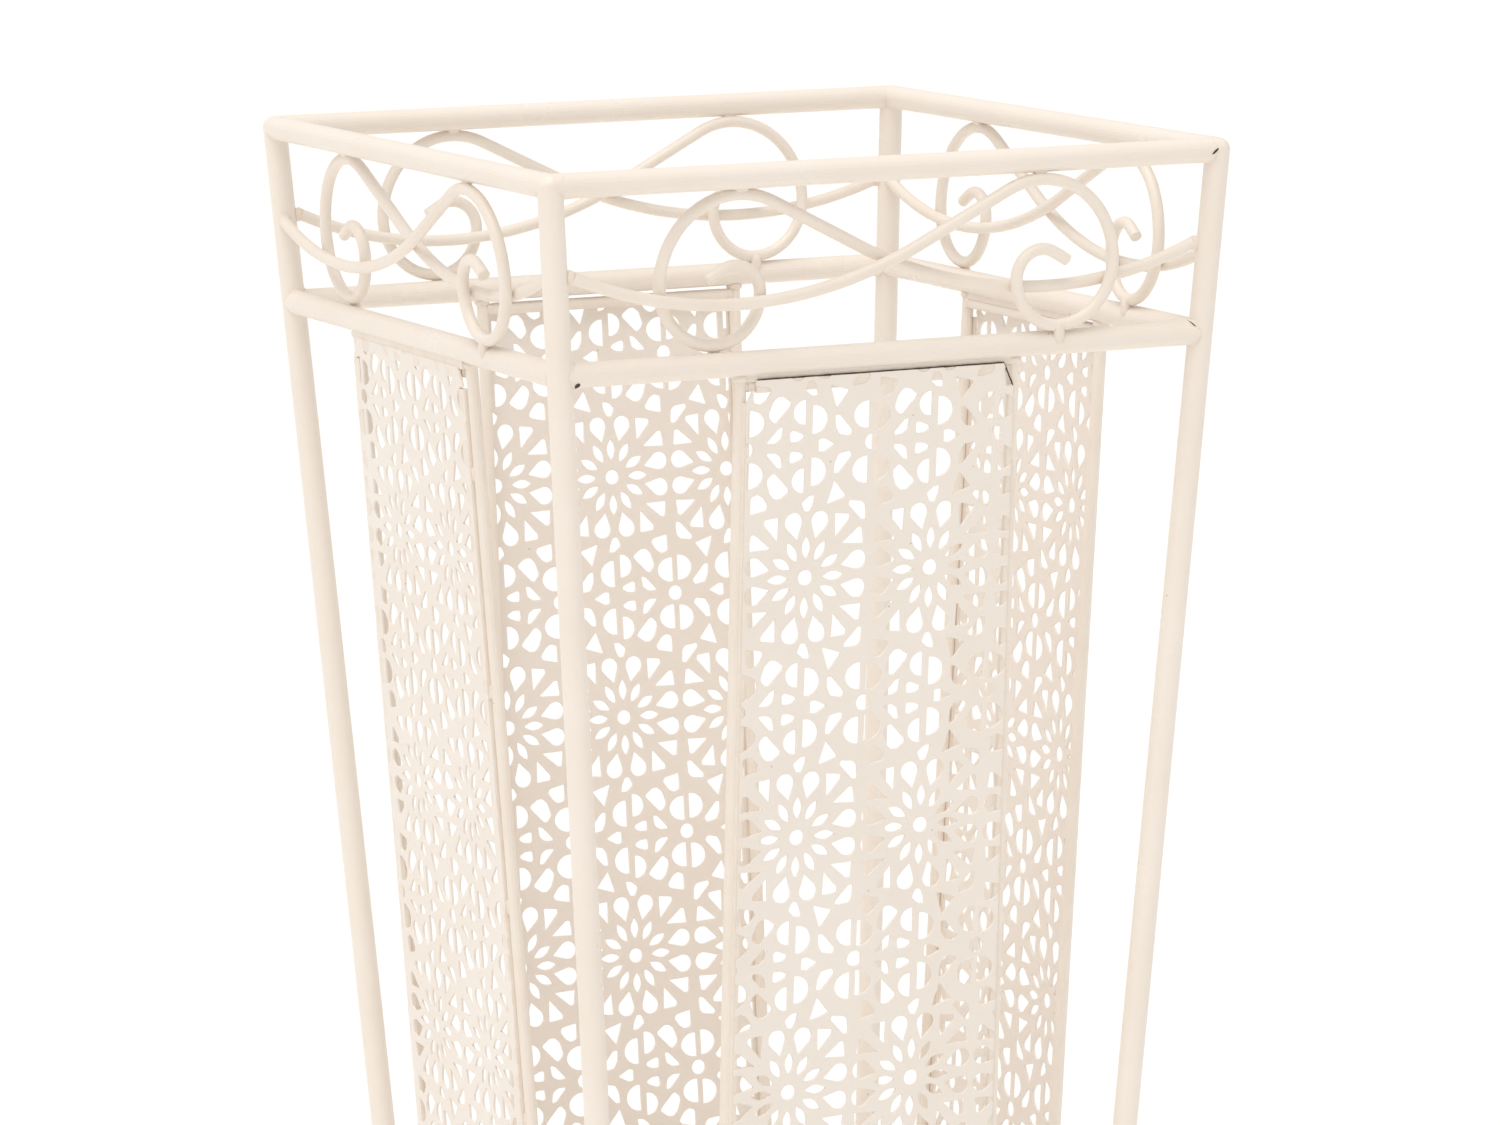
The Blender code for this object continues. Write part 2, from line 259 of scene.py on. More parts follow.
# %% Polyethylene
SOIL_FADE = 330.0            # per metre of height, so the dirt ends 3 mm above the floor
GRAIN_MM, GRAIN_HEIGHT_MM = 0.5, 0.04
polyethylene, tree, shader, place = start_material("moulded_polyethylene_cap", IOR=1.5, Roughness=0.6)
height = add_node(tree, "ShaderNodeSeparateXYZ", links={"Vector": place})
scuffs = add_noise(tree, place, 3, Detail=5.0)
soil = add_node(tree, "ShaderNodeMath", {"operation": "MULTIPLY_ADD", "use_clamp": True}, {1: -SOIL_FADE, 2: 1.0},
                {0: height.outputs["Z"]})
soil_patch = add_node(tree, "ShaderNodeMath", {"operation": "MULTIPLY"},
                      links={0: soil.outputs["Value"], 1: scuffs})
mix_colours(tree, shader, "#EDE3D3", "#A3988A", soil_patch.outputs["Value"])
add_bump(tree, shader, add_noise(tree, place, GRAIN_MM, Detail=1.0), 0.7, GRAIN_HEIGHT_MM)
print("made", polyethylene.name)

# %% [markdown]
# ## Painting what the frame already has
# The ring bars, the rods under the tray, the tray and the caps have the right shape in the frame, so
# they only get their finish.

# %% Assign finishes to the frame's parts
def finish_for(node_name):
    if node_name.startswith("foot_cap"):
        return polyethylene
    if node_name == "drip_tray":
        return tray_coat
    if node_name.startswith(("leg_", "top_bar", "second_bar", "base_bar")):
        return bar_coat
    return wire_coat


for node_name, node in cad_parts.items():
    for place_in_list in range(len(node.material_slots)):
        node.material_slots[place_in_list].material = finish_for(node_name)
print("finishes assigned to", len(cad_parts), "parts")

# %% [markdown]
# ## Making a piece and sweeping a wire
# Most added pieces are lists of points and faces, so one function makes the object, shades it, names
# its finish and lets it ride with the stand. The loose tray needs no added piece.
#
# A wire is a circle carried along a path. A mesh made here gives flat cut tips and a thickness that
# can change along a weld. For each point of the path the circle is set square to the path, with a
# reference direction that is never parallel to it.

# %% Piece and wire helpers
def new_piece(name, points, faces, finish, slot, stands_for=(), sharp_degrees=35):
    mesh = bpy.data.meshes.new(name)
    mesh.from_pydata([tuple(p) for p in points], [], faces)
    mesh.validate()
    mesh.shade_smooth()
    mesh.set_sharp_from_angle(angle=math.radians(sharp_degrees))
    mesh.materials.append(finish)
    piece = bpy.data.objects.new(name, mesh)
    bpy.context.scene.collection.objects.link(piece)
    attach(piece, "stand")
    if stands_for:
        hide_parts(*stands_for)
    return piece


def tube_faces(rings, sides, closed=False):
    """Four-sided faces between each ring of points and the next."""
    faces = []
    for i in range(rings if closed else rings - 1):
        here, there = i * sides, (i + 1) % rings * sides
        for k in range(sides):
            m = (k + 1) % sides
            faces.append((here + k, there + k, there + m, here + m))
    return faces


def sweep(path, radii, reference, closed=False, sides=20):
    """Points and faces of a round wire. radii is one radius, or one for each point of the path."""
    count = len(path)
    radii = [radii] * count if isinstance(radii, float) else radii
    points = []
    for i, centre in enumerate(path):
        before = path[i - 1] if closed or i else centre
        after = path[(i + 1) % count] if closed or i + 1 < count else centre
        ahead = (after - before).normalized()
        across = ahead.cross(reference).normalized()
        up = across.cross(ahead)
        for k in range(sides):
            angle = math.tau * k / sides
            points.append(centre + radii[i] * (math.cos(angle) * across + math.sin(angle) * up))
    faces = tube_faces(count, sides, closed)
    if not closed:
        faces.append(tuple(range(sides)))
        faces.append(tuple(range((count - 1) * sides, count * sides))[::-1])
    return points, faces


def add_to(pile, made):
    """Joins points and faces onto a pile that becomes one piece."""
    start = len(pile[0])
    pile[0].extend(made[0])
    pile[1].extend(tuple(i + start for i in face) for face in made[1])


print("helpers ready")

# %% [markdown]
# ## Legs with rounded corners
# Where two top bars and a leg of the same bar meet, the welder fills the corner and grinds it round.
# The shape is then a ball of the bar's own radius at the meeting point, with a short round stub along
# each bar. A stub is a hair thicker than its bar, so that it covers the bar's coped end. The frame's
# leg ends above the bars instead, so a new leg stands in for it, with level circles like the frame's.

# %% Turn the legs
LEG_SIDES = 48
BALL_STEPS, BALL_STEP_DEGREES = 12, 7.4
STUB_LENGTH = 0.0075
STUB_EXTRA = 0.00003         # over the bar's radius


def rounded_leg(corner):
    """The leg with its ball, and the two stubs that cover the ends of the top bars."""
    right, back = corner_signs(corner)
    meeting = RINGS["top"]["height"]
    rings = [(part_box("leg_" + corner)[0].z, BAR_RADIUS), (meeting, BAR_RADIUS)]
    for k in range(1, BALL_STEPS + 1):
        angle = math.radians(BALL_STEP_DEGREES * k)
        rings.append((meeting + BAR_RADIUS * math.sin(angle), BAR_RADIUS * math.cos(angle)))
    points = []
    for height, radius in rings:
        axis = half_width(min(height, meeting))
        for k in range(LEG_SIDES):
            angle = math.tau * k / LEG_SIDES
            points.append(Vector((right * axis + radius * math.cos(angle),
                                  back * axis + radius * math.sin(angle), height)))
    faces = [face[::-1] for face in tube_faces(len(rings), LEG_SIDES)]
    faces.append(tuple(range(LEG_SIDES))[::-1])
    faces.append(tuple(range((len(rings) - 1) * LEG_SIDES, len(rings) * LEG_SIDES)))
    pile = (points, faces)
    centre = Vector((right * half_width(meeting), back * half_width(meeting), meeting))
    for along_bar in (Vector((-right, 0, 0)), Vector((0, -back, 0))):
        path = [centre, centre + along_bar * STUB_LENGTH]
        add_to(pile, sweep(path, BAR_RADIUS + STUB_EXTRA, Vector((0, 0, 1)), sides=LEG_SIDES))
    return pile


for corner in CORNERS:
    new_piece("rounded_leg_" + corner, *rounded_leg(corner), bar_coat, "bar_paint", stands_for=("leg_" + corner,),
              sharp_degrees=50)
print("turned", len(CORNERS), "legs, each", round(RINGS["top"]["height"] + BAR_RADIUS, 4), "m high")

# %% [markdown]
# ## Scrolls
# Each side has two scrolls of 4 mm wire, bent cold round pins: one starts at the left leg, the other
# is its mirror image behind it. The bends are tangent arcs, so the path is a chain of arcs, each with a
# radius in metres and a turn in degrees, left turns positive. The chain is then scaled to the opening
# between the rings.

# %% The scroll's path
WIRE_RADIUS = 0.00195
WIRE_CLEARANCE = 0.0003      # between wires and between a wire and a bar, filled by the welds
SCROLL_START_HEADING = -22.0
# Each pair is an arc's radius and turn, or None and the length of a straight stretch.
SCROLL_ARCS = ((0.150, 48.0), (None, 0.034), (0.027, -116.0), (0.0196, -90.0), (0.0155, -90.0),
               (0.009, -120.0), (None, 0.0055))
SCROLL_REACH = 0.49          # middle of the loop's top, as a share of the half opening
SCROLL_STEP = 0.0011         # distance between two points of the path


def scroll_chain():
    point, heading = Vector((0, 0)), math.radians(SCROLL_START_HEADING)
    points = [point.copy()]
    for radius, amount in SCROLL_ARCS:
        if radius is None:
            steps = math.ceil(amount / SCROLL_STEP)
            ahead = Vector((math.cos(heading), math.sin(heading)))
            points += [point + ahead * amount * i / steps for i in range(1, steps + 1)]
            point = points[-1]
            continue
        turn = math.radians(amount)
        steps = math.ceil(abs(turn) * radius / SCROLL_STEP)
        side = math.copysign(radius, turn)
        centre = point + side * Vector((-math.sin(heading), math.cos(heading)))
        points += [centre - side * Vector((-math.sin(heading + turn * i / steps),
                                           math.cos(heading + turn * i / steps)))
                   for i in range(1, steps + 1)]
        heading += turn
        point = points[-1]
    return points


def scroll_path():
    """u, v and distance from the bars' plane of an outer scroll, from the top bars' axis."""
    layer = WIRE_RADIUS + WIRE_CLEARANCE / 2
    touch = math.sqrt((BAR_RADIUS + WIRE_RADIUS + WIRE_CLEARANCE) ** 2 - layer ** 2)
    drop = RINGS["top"]["height"] - RINGS["second"]["height"]
    top, bottom = -touch, -drop * SLOPE + touch
    chain = scroll_chain()
    highest = max(chain, key=lambda point: point.y)
    lowest = min(point.y for point in chain)
    rise = (top - bottom) / (highest.y - lowest)
    leg_height = RINGS["top"]["height"] + (top + (chain[0].y - highest.y) * rise) / SLOPE
    slant = WIRE_RADIUS * math.sin(math.radians(abs(SCROLL_START_HEADING)))
    start = half_width(leg_height) - BAR_RADIUS - slant - WIRE_CLEARANCE
    run = start * (1 + SCROLL_REACH) / (highest.x - chain[0].x)
    return [(-start + (p.x - chain[0].x) * run, top + (p.y - highest.y) * rise, layer) for p in chain]


SCROLL = scroll_path()
CREST = max(range(len(SCROLL)), key=lambda i: SCROLL[i][1])
wire_length = sum((Vector(a) - Vector(b)).length for a, b in zip(SCROLL, SCROLL[1:]))
print("wire in one scroll:", round(wire_length * 1000), "mm in", len(SCROLL), "points")

# %% [markdown]
# No two hand-bent scrolls are alike. The loops stand a few millimetres nearer or further from the
# leg, the start is welded a little lower, and the first wave hangs deeper. Three numbers for each
# wire, in millimetres, and the width of its loop give each one its own bend.

# %% Bend and sweep the eight scrolls
MOST_PROGRESS = 1.6          # the loop's far side moves no further than this share of the shift
WAVE_PEAK = 6.75             # makes p (1 - p)^2 reach 1 at its highest
# By side, and 1 for outer or -1 for inner: the loop's shift away from the scroll's start, how much
# lower the start is, how much deeper the wave, and the loop's width as a share of the usual one.
HAND = {("front", 1): (-2.0, 0.0, 0.5, 1.0), ("front", -1): (-2.0, 2.0, 1.0, 1.0),
        ("right", 1): (-2.5, 4.6, 1.0, 1.0), ("right", -1): (7.5, 1.0, 0.5, 0.85),
        ("back", 1): (-2.5, 1.0, -1.0, 1.0), ("back", -1): (-1.5, 1.5, 1.5, 1.0),
        ("left", 1): (-0.5, 3.0, 0.5, 1.0), ("left", -1): (2.0, -1.5, 1.5, 0.96)}


def bent_scroll(side, flip):
    """The common path with one wire's own shift, sag, wave and loop."""
    shift, lower, deeper = (number * MM for number in HAND[side, flip][:3])
    width = HAND[side, flip][3]
    start, crest = SCROLL[0][0], SCROLL[CREST][0]
    bent = []
    for i, (u, v, n) in enumerate(SCROLL):
        progress = min(max((u - start) / (crest - start), 0), MOST_PROGRESS)
        if i < CREST:
            left = max(1 - progress, 0)
            v -= lower * left ** 2 + deeper * WAVE_PEAK * progress * left ** 2
        else:
            u = crest + (u - crest) * width
        bent.append((flip * (u + shift * progress), v, flip * n))
    return bent


BENT = {key: bent_scroll(*key) for key in HAND}
for side in SIDES:
    axes = side_frame(side, RINGS["top"]["height"])
    for layer_name, flip in (("outer", 1), ("inner", -1)):
        path = [axes @ Vector(spot) for spot in BENT[side, flip]]
        new_piece("scroll_wire_" + layer_name + "_" + side, *sweep(path, WIRE_RADIUS, outwards_of(axes), sides=24),
                  wire_coat, "wire_paint", stands_for=["scroll_" + layer_name + "_" + side])
print("scroll wires:", len(BENT))

# %% [markdown]
# ## Welds
# The rings, legs, scrolls and panel frames are joined by small welds that were ground little and then
# painted over. Two kinds are enough. A bead runs round each bar where it meets a leg, along the curve
# where the two cylinders cross: it is high above and below the bar and nearly nothing at its sides.
# On the top ring, where hands reach in, its upper half was ground almost flush.
# A nugget is a soft lump of weld metal between a wire and a bar: at the scroll's crest, at its start
# and, as a short stub, under its loop. Both kinds get a little noise, because a hand weld is never
# even, and the noise is read from fixed places, so every run gives the same welds.

# %% Beads where bars meet legs
BEAD_STEPS = 40
BEAD_SIDE, BEAD_RISE = 0.50, 0.40        # millimetres of radius at the bar's sides, and more above and below
BEAD_SUNK, GROUND_SUNK = 0.45, 0.85      # share of its radius by which a bead lies inside the bar's outline
GROUND_THINNER = 0.6
BEAD_LUMPS_PER_M, BEAD_LUMP = 420.0, 0.3


def bead_path(corner, ring, direction):
    """Curve round a bar at a leg. direction points from the leg along the bar."""
    height = RINGS[ring]["height"]
    half = half_width(height)
    centre = Vector((*(sign * half for sign in corner_signs(corner)), height))
    aside = direction.cross(Vector((0, 0, 1)))
    path, radii = [], []
    for i in range(BEAD_STEPS):
        angle = math.tau * i / BEAD_STEPS
        radius = (BEAD_SIDE + BEAD_RISE * abs(math.cos(angle))) * MM
        ground = ring == "top" and math.cos(angle) > 0
        if ground:
            radius *= GROUND_THINNER
        up = (BAR_RADIUS - (GROUND_SUNK if ground else BEAD_SUNK) * radius) * math.cos(angle)
        over = (BAR_RADIUS - radius) * math.sin(angle)
        reach = math.sqrt(BAR_RADIUS ** 2 - over ** 2)
        lean = Vector((math.copysign(TAPER * up, centre.x), math.copysign(TAPER * up, centre.y), 0))
        spot = centre + lean + direction * reach + Vector((0, 0, up)) + aside * over
        path.append(spot)
        lump = noise.noise(spot * BEAD_LUMPS_PER_M) * abs(math.cos(angle))
        radii.append(radius * (1 + BEAD_LUMP * lump))
    return path, radii


for ring in RINGS:
    pile = ([], [])
    for corner in CORNERS:
        right, back = corner_signs(corner)
        for direction in (Vector((-right, 0, 0)), Vector((0, -back, 0))):
            path, radii = bead_path(corner, ring, direction)
            add_to(pile, sweep(path, radii, direction, closed=True, sides=10))
    new_piece("weld_beads_" + ring + "_ring", *pile, weld_coat, "bar_paint", sharp_degrees=180)
print("beads on", len(RINGS), "rings:", 2 * len(CORNERS) * len(RINGS))

# %% Nuggets between wires and bars
NUGGET_ROWS, NUGGET_SIDES = 10, 18
SQUARENESS = 0.72            # 1 gives an ellipsoid, less gives a squarer lump
LUMPS_PER_M = 700.0
# Half sizes along u, v and n in millimetres: at the scroll's crest, in a stub under its loop, at its start.
CREST_WELD, STUB_WELD, START_WELD = (2.3, 1.3, 1.5), (1.75, 3.3, 1.7), (1.5, 2.3, 2.1)


def squarish(value):
    return math.copysign(abs(value) ** SQUARENESS, value)


def nugget(axes, centre, half_sizes, roughness=0.10):
    """A squarish lump in a side's axes, with its half sizes along u, v and n in millimetres."""
    centre, points = Vector(centre), []
    for row in range(NUGGET_ROWS + 1):
        rise = -math.pi / 2 + math.pi * row / NUGGET_ROWS
        for k in range(NUGGET_SIDES):
            turn = math.tau * k / NUGGET_SIDES
            across = squarish(math.cos(rise))
            shape = Vector((across * squarish(math.cos(turn)), squarish(math.sin(rise)),
                            across * squarish(math.sin(turn))))
            spot = centre + Vector([s * h * MM for s, h in zip(shape, half_sizes)])
            swell = 1 + roughness * noise.noise((axes @ spot) * LUMPS_PER_M)
            points.append(axes @ (centre + (spot - centre) * swell))
    return points, tube_faces(NUGGET_ROWS + 1, NUGGET_SIDES)


def scroll_nuggets(side):
    pile = ([], [])
    axes = side_frame(side, RINGS["top"]["height"])
    drop = -(RINGS["top"]["height"] - RINGS["second"]["height"]) * SLOPE
    for flip in (1, -1):
        wire = BENT[side, flip]
        crest, dip, start = wire[CREST], min(wire, key=lambda p: p[1]), wire[0]
        add_to(pile, nugget(axes, (crest[0], crest[1] * 0.66, crest[2] * 0.5), CREST_WELD))
        add_to(pile, nugget(axes, (dip[0], drop + 0.0034, flip * 0.0030), STUB_WELD))
        add_to(pile, nugget(axes, (start[0] - flip * 0.0006, start[1], start[2] * 0.8), START_WELD))
    return pile


for side in SIDES:
    new_piece("weld_nuggets_scroll_" + side, *scroll_nuggets(side), weld_coat, "wire_paint", sharp_degrees=180)
print("nuggets on the scrolls:", 3 * len(BENT))

# %% [markdown]
# ## Pierced sheets: one repeat of the pattern
# The panels are 0.8 mm steel sheet, punched with a star-and-rosette pattern that repeats every 43.8 mm
# across and 84.1 mm up. The holes are cut in the mesh, so that light falls through them and their
# edges show the sheet's thickness. One repeat is drawn, in millimetres, and of its band only the
# upper half, because the lower half is its mirror image.
#
# The rosette has an eye, twelve pointed petals, eight drops and eight wedges. The band between two
# rows of rosettes is filled by smaller shields, moons and darts.

# %% Shapes of holes
REPEAT_WIDE, REPEAT_HIGH = 43.8, 84.1


def softened(outline, radius=0.5):
    """Rounds each corner of a punched outline with a short arc of three points."""
    corners = [Vector(p) for p in outline]
    points = []
    for before, corner, after in zip(corners[-1:] + corners[:-1], corners, corners[1:] + corners[:1]):
        back, ahead = before - corner, after - corner
        reach = min(radius, 0.45 * back.length, 0.45 * ahead.length)
        start, end = corner + back.normalized() * reach, corner + ahead.normalized() * reach
        points += [start, start * 0.25 + corner * 0.5 + end * 0.25, end]
    return points


def turned(points, degrees):
    turn = Matrix.Rotation(math.radians(degrees), 2)
    return [turn @ Vector(p) for p in points]


def round_hole(x, y, radius, steps=20):
    return [Vector((x + radius * math.cos(math.tau * i / steps), y + radius * math.sin(math.tau * i / steps)))
            for i in range(steps)]


def moon(straight_x, high, low, bulge, steps=12):
    """Half ellipse with its straight side upright; it bulges by a signed amount."""
    middle, half = (high + low) / 2, (high - low) / 2
    arc = [Vector((straight_x + bulge * math.sin(math.pi * i / steps),
                   middle + half * math.cos(math.pi * i / steps)))
           for i in range(1, steps)]
    corner = 0.06
    return [Vector((straight_x, high - corner)), *arc, Vector((straight_x, low + corner))]


def petal(turn_degrees, inner=6.0, outer=13.3, wide=3.0, steps=7):
    """A petal pointed at both ends."""
    side = [(inner + (outer - inner) * i / steps, wide / 2 * math.sin(math.pi * i / steps) ** 0.9)
            for i in range(1, steps)]
    outline = [(inner, 0), *[(r, -w) for r, w in side], (outer, 0), *[(r, w) for r, w in side[::-1]]]
    return turned(outline, turn_degrees)


def drop_hole(turn_degrees, tip=12.6, centre=18.6, radius=3.05, steps=14):
    """A drop: a point towards the eye, straight flanks and a round outer end."""
    flank = math.pi - math.acos(radius / (centre - tip))
    arc = [(centre + radius * math.cos(a), radius * math.sin(a))
           for a in (-flank + 2 * flank * i / steps for i in range(steps + 1))]
    return turned([(tip + 0.25, 0.12), (tip + 0.25, -0.12), *arc], turn_degrees)


WEDGE = [(12.2, 10.0), (20.0, 9.7), (19.4, 14.8), (18.0, 15.0)]


def rosette():
    """Holes of one rosette, round its own centre."""
    holes = [round_hole(0, 0, 2.5)]
    holes += [petal(30 * i) for i in range(12)]
    for quarter in range(4):
        holes += [drop_hole(90 * quarter + aside) for aside in (-14.3, 14.3)]
        holes += [turned(softened(wedge), 90 * quarter) for wedge in (WEDGE, [(y, x) for x, y in WEDGE])]
    return holes


print("holes in a rosette:", len(rosette()))

# %% The band between the rosettes
BAND_CORNERS = (
    ((-0.9, 20.9), (0.9, 20.9), (2.1, 18.2), (2.5, 15.8), (0.3, 16.0), (-2.1, 18.1)),
    ((6.6, 19.1), (13.5, 16.9), (9.1, 11.4)),
    ((19.1, 24.8), (20.6, 24.5), (20.3, 20.2), (19.0, 18.8), (14.6, 18.3), (14.2, 19.5)),
    ((24.0, 20.7), (29.5, 19.5), (30.2, 18.2), (28.3, 15.4), (26.3, 14.2), (24.0, 15.1)),
    ((32.4, 16.3), (34.4, 16.2), (37.2, 14.1), (37.0, 13.2), (32.3, 8.2), (31.3, 8.0), (29.6, 9.7), (29.4, 10.9),
     (30.6, 14.5)),
    ((8.7, 9.3), (10.4, 9.3), (15.1, 3.9), (14.1, 2.4), (10.3, 3.1), (9.0, 5.7)),
    ((34.7, 6.6), (34.1, 2.9), (32.0, 1.5), (29.1, 1.5), (29.2, 2.1), (33.0, 6.3)),
    ((36.9, 4.7), (38.0, 5.3), (41.5, 3.9), (42.1, 2.9), (40.0, 1.6), (37.2, 1.5)),
)
BAND_MOONS = ((42.4, 14.9, 6.8, -4.4), (0.9, 13.0, 3.6, 5.3), (20.6, 13.3, 4.3, -5.4), (22.5, 12.6, 3.9, 5.7))
BAND_DART = ((3.2, 1.9), (5.0, 2.2), (9.0, 0), (5.0, -2.2), (3.2, -1.9))


def band():
    """Holes of one repeat of the band, from a rosette column and the line of round holes."""
    half = [softened(corners, 0.6) for corners in BAND_CORNERS] + [moon(*numbers) for numbers in BAND_MOONS]
    mirrored = [[Vector((p.x, -p.y)) for p in hole] for hole in half]
    return half + mirrored + [round_hole(REPEAT_WIDE / 2, 0, 2.55), softened(BAND_DART)]


def one_repeat():
    """The band on the line y = 0 and the rosette half a repeat above it, all wound the same way."""
    holes = band() + [[p + Vector((0, REPEAT_HIGH / 2)) for p in hole] for hole in rosette()]
    return [hole if winding(hole) > 0 else hole[::-1] for hole in holes]


def winding(hole):
    return sum(a.x * b.y - b.x * a.y for a, b in zip(hole, hole[1:] + hole[:1]))


REPEAT = one_repeat()
print("holes in one repeat:", len(REPEAT), "with", sum(len(h) for h in REPEAT), "outline points")

# %% [markdown]
# ## Cutting a sheet
# The sheets were cut from larger pierced stock, so their edges run through the pattern wherever it
# falls, a little differently on each side of the stand. Each side has its own start and a slight
# lean of the pattern.
#
# A Boolean with 800 cutters is slow and fragile. A constrained triangulation is quick and exact: it
# fills the sheet's outline with triangles whose edges follow every hole, and the triangles that lie
# inside a hole are thrown away. What remains is copied to the back, and the rims are joined by a
# wall whose edges are broken by 0.12 mm, as paint rounds every punched edge.

# %% Triangles of a pierced sheet
EDGE_BREAK = 0.12            # millimetres, on every punched edge


def grown(hole, amount):
    """The hole with each point moved outwards, square to its outline."""
    moved = []
    for before, here, after in zip(hole[-1:] + hole[:-1], hole, hole[1:] + hole[:1]):
        along_edge = (after - before).normalized()
        moved.append(here + amount * Vector((along_edge.y, -along_edge.x)))
    return moved


def extent(points):
    xs, ys = [p.x for p in points], [p.y for p in points]
    return min(xs), min(ys), max(xs), max(ys)


REPEATS_DOWN, REPEATS_ACROSS = range(-1, 7), range(-3, 4)      # more than any sheet needs


def pattern_on(outline, column, row, lean):
    """Every hole that touches the sheet. column and row place a round hole; lean shears the pattern."""
    left, bottom, right, top = extent(outline)
    found = []
    for down in REPEATS_DOWN:
        for across in REPEATS_ACROSS:
            for hole in REPEAT:
                placed = []
                for p in hole:
                    x = p.x - REPEAT_WIDE / 2 + REPEAT_WIDE * across
                    y = p.y - REPEAT_HIGH * down
                    placed.append(Vector((column + x + lean * y, row + y)))
                x0, y0, x1, y1 = extent(placed)
                if x1 > left and x0 < right and y1 > bottom and y0 < top:
                    found.append(placed)
    return found


def inside_outline(points, outline):
    """For each of many points, whether it lies inside the closed outline: it counts edge crossings."""
    inside = np.zeros(len(points), bool)
    for a, b in zip(outline, outline[1:] + outline[:1]):
        crosses = (a.y > points[:, 1]) != (b.y > points[:, 1])
        if a.y != b.y:
            inside ^= crosses & (points[:, 0] < a.x + (points[:, 1] - a.y) * (b.x - a.x) / (b.y - a.y))
    return inside


def pierced_triangles(outline, holes):
    """Flat triangles of the sheet that lie in no hole, in millimetres."""
    loops = [outline, *[grown(hole, EDGE_BREAK) for hole in holes]]
    flat = [p for loop in loops for p in loop]
    edges, start = [], 0
    for loop in loops:
        edges += [(start + i, start + (i + 1) % len(loop)) for i in range(len(loop))]
        start += len(loop)
    verts, _, triangles, *_ = delaunay_2d_cdt(flat, edges, [], 0, 1e-5)
    verts = np.array([tuple(v) for v in verts])
    triangles = np.array(triangles)
    middles = verts[triangles].mean(axis=1)
    kept = inside_outline(middles, outline)
    for loop in loops[1:]:
        x0, y0, x1, y1 = extent(loop)
        near = np.flatnonzero(((middles > (x0, y0)) & (middles < (x1, y1))).all(axis=1))
        kept[near[inside_outline(middles[near], loop)]] = False
    return verts, largest_part(triangles[kept])


def largest_part(triangles):
    """Drops slivers of metal that the sheet's edge has cut loose."""
    group = np.arange(triangles.max() + 1)
    while True:
        lowest = group[triangles].min(axis=1)
        merged = group.copy()
        for k in range(3):
            np.minimum.at(merged, triangles[:, k], lowest)
        if (merged == group).all():
            break
        group = merged
    labels = group[triangles[:, 0]]
    names, counts = np.unique(labels, return_counts=True)
    return triangles[labels == names[counts.argmax()]]


print("cutting helpers ready")

# %% Give a pierced sheet its thickness
ROD_RADIUS = 0.002
SHEET_GAP = ROD_RADIUS + WIRE_CLEARANCE
SHEET_THICKNESS = 0.0008
SHEET_END_SPACE = 0.001
CORNER_CUT = (3.5, 7.0)      # millimetres, across and along
PANEL_TOP = -BAR_RADIUS      # both along v, from the second ring's axis
PANEL_BOTTOM = -(RINGS["second"]["height"] - RINGS["base"]["height"]) * SLOPE + BAR_RADIUS
SHEET_TOP, SHEET_BOTTOM = PANEL_TOP - SHEET_END_SPACE, PANEL_BOTTOM + SHEET_END_SPACE


def sheet_solid(verts, triangles, axes):
    """Front and back faces and the walls of the holes, as points and faces in metres."""
    corners = verts[triangles]
    turn = np.cross(corners[:, 1] - corners[:, 0], corners[:, 2] - corners[:, 0])
    triangles = np.where((turn < 0)[:, None], triangles[:, ::-1], triangles)
    directed = {(int(a), int(b)) for t in triangles for a, b in ((t[0], t[1]), (t[1], t[2]), (t[2], t[0]))}
    rim = [(a, b) for a, b in directed if (b, a) not in directed]
    outwards = np.zeros_like(verts)
    for a, b in sorted(rim):
        edge = verts[b] - verts[a]
        normal = np.array((edge[1], -edge[0])) / max(np.hypot(*edge), 1e-9)
        outwards[a] += normal
        outwards[b] += normal
    outwards /= np.maximum(np.hypot(outwards[:, 0], outwards[:, 1]), 1e-9)[:, None]
    used = np.unique(triangles)
    rims = np.unique([i for edge in rim for i in edge])
    near, far = SHEET_GAP, SHEET_GAP + SHEET_THICKNESS
    points, order = [], {}
    for level, (depth, members, out) in enumerate(((near, used, 0), (near + EDGE_BREAK * MM, rims, EDGE_BREAK),
                                                   (far - EDGE_BREAK * MM, rims, EDGE_BREAK), (far, used, 0))):
        for i in members:
            order[level, int(i)] = len(points)
            x, y = (verts[i] + outwards[i] * out) * MM
            points.append(axes @ Vector((x, y, depth)))
    faces = [tuple(order[3, int(i)] for i in t) for t in triangles]
    faces += [tuple(order[0, int(i)] for i in t[::-1]) for t in triangles]
    for a, b in sorted(rim):
        for level in range(3):
            faces.append((order[level, a], order[level, b], order[level + 1, b], order[level + 1, a]))
    return points, faces


def sheet_outline(half):
    """The sheet's outline with clipped corners, in millimetres from the panel's middle and the second bar."""
    across, along_edge = CORNER_CUT
    right, high, low = half / MM - EDGE_BREAK, SHEET_TOP / MM - EDGE_BREAK, SHEET_BOTTOM / MM + EDGE_BREAK
    return [Vector(p) for p in ((right - across, low), (right, low + along_edge), (right, high - along_edge),
                                (right - across, high), (across - right, high), (-right, high - along_edge),
                                (-right, low + along_edge), (across - right, low))]


